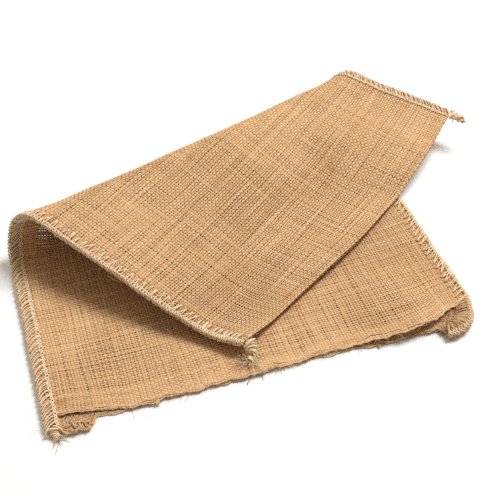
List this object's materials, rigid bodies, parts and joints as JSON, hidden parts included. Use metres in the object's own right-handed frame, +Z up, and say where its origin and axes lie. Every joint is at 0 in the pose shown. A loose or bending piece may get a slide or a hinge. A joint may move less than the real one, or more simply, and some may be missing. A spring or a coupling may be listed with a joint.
{
  "type": "jute sack",
  "caption": "Empty hessian sack with overcast side seams, lying flat, its bottom end turned back over the mouth in one open diagonal fold.",
  "frame": {"origin": "on the surface, under the middle of the whole part's bounding box", "axes": "+X along the diagonal fold from its open left end to its right end, +Y from the mouth to the fold, +Z up"},
  "size_m": [0.4904, 0.3084, 0.0587],
  "materials": {
    "hessian": "natural tan jute in an open plain weave, matt and slightly hairy, with a few darker slubs",
    "seam_yarn": "paler twisted jute yarn, matt and hairy"
  },
  "bodies": {
    "root": {"sack_cloth": "hessian", "seam_left": "seam_yarn", "seam_right": "seam_yarn"}
  },
  "joints": []
}
